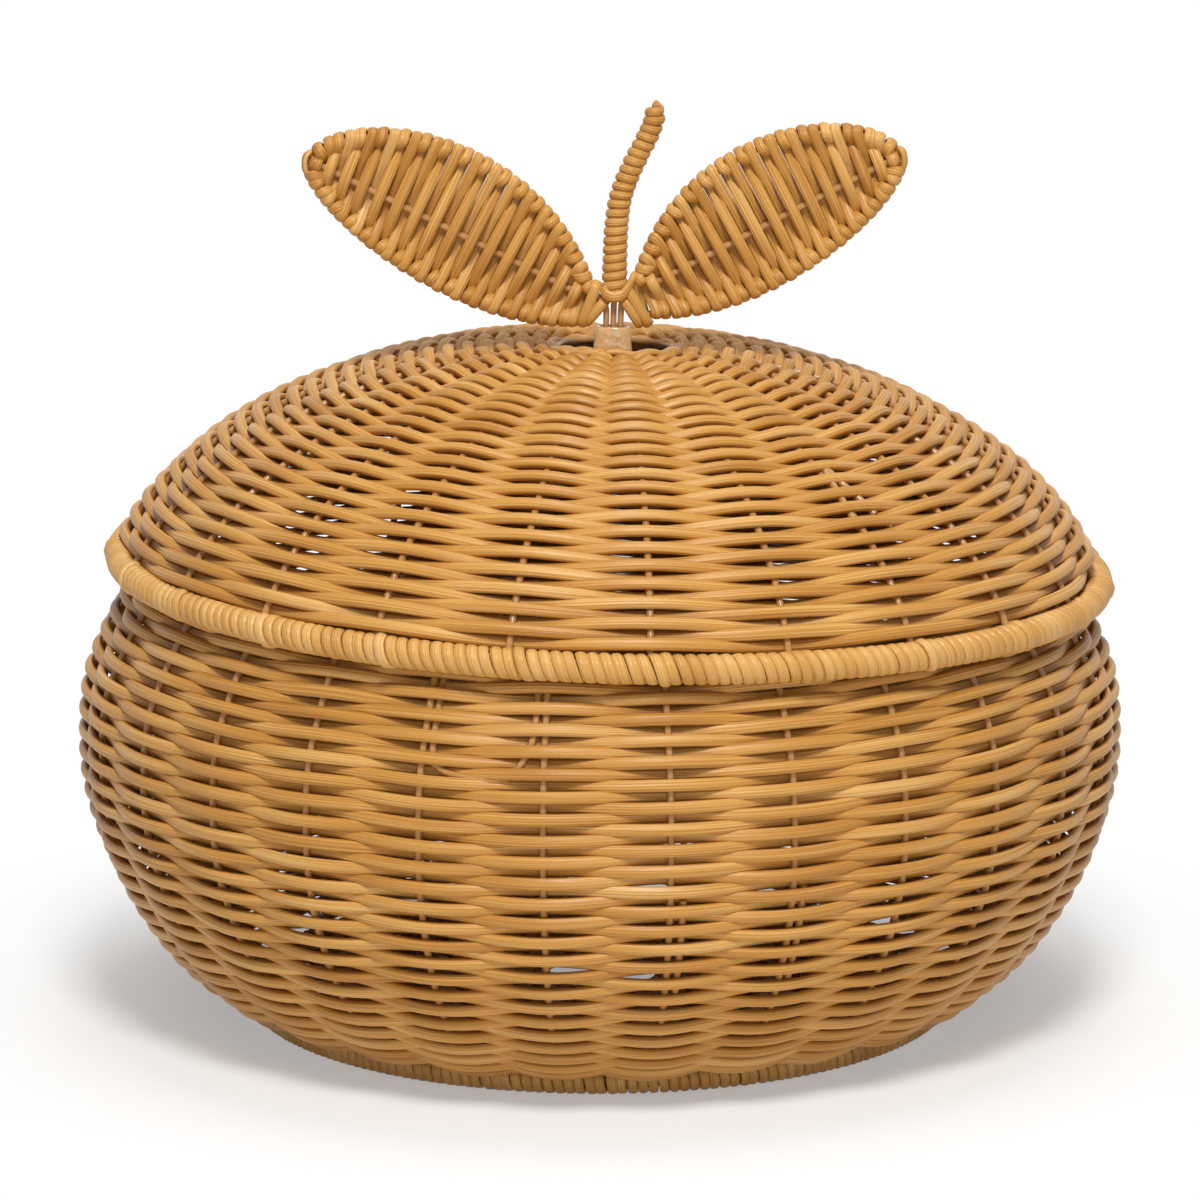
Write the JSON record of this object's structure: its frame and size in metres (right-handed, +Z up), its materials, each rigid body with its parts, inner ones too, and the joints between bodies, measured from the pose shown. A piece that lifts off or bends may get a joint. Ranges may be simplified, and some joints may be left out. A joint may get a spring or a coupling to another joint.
{
  "type": "lidded storage basket",
  "caption": "Round apple-shaped basket of woven cane on wire stakes, with a loose domed lid that has a wound stem and woven leaves.",
  "frame": {"origin": "on the surface the basket stands on, under the middle of the body", "axes": "+Z up; +X to the right as seen from the front; -Y towards the front, where the hub, stem and leaves stand"},
  "size_m": [0.2994, 0.2992, 0.2636],
  "materials": {
    "cane": "satin, finely grooved along the strand",
    "binding_cane": "satin, finely grooved along the strand",
    "coated_wire": "glossy plastic coat",
    "hub_resin": "glossy, slightly translucent"
  },
  "bodies": {
    "basket": {"foot_ring": "coated_wire", "foot_binding": "binding_cane", "floor_ring": "coated_wire", "floor_weave": "cane", "body_stake_01": "coated_wire", "body_stake_02": "coated_wire", "body_stake_03": "coated_wire", "body_stake_04": "coated_wire", "body_stake_05": "coated_wire", "body_stake_06": "coated_wire", "body_stake_07": "coated_wire", "body_stake_08": "coated_wire", "body_stake_09": "coated_wire", "body_stake_10": "coated_wire", "body_stake_11": "coated_wire", "body_stake_12": "coated_wire", "body_stake_13": "coated_wire", "body_stake_14": "coated_wire", "body_stake_15": "coated_wire", "body_stake_16": "coated_wire", "body_stake_17": "coated_wire", "body_stake_18": "coated_wire", "body_stake_19": "coated_wire", "body_stake_20": "coated_wire", "body_stake_21": "coated_wire", "body_stake_22": "coated_wire", "body_stake_23": "coated_wire", "body_stake_24": "coated_wire", "body_stake_25": "coated_wire", "body_stake_26": "coated_wire", "body_stake_27": "coated_wire", "body_weave": "cane", "mouth_ring": "coated_wire", "mouth_binding": "binding_cane"},
    "lid": {"lid_rim_ring": "coated_wire", "lid_rim_binding": "binding_cane", "lid_frame": "coated_wire", "lid_weave": "cane", "hub": "hub_resin", "stem_core": "coated_wire", "stem_winding": "cane", "leaf_left_frame": "coated_wire", "leaf_left_midrib": "coated_wire", "leaf_left_lashing": "cane", "leaf_right_frame": "coated_wire", "leaf_right_midrib": "coated_wire", "leaf_right_lashing": "cane"}
  },
  "joints": [
    {"name": "lid_lift", "type": "slide", "parent": "basket", "child": "lid", "axis": [0, 0, 1], "range_m": [0, 0.16]}
  ]
}
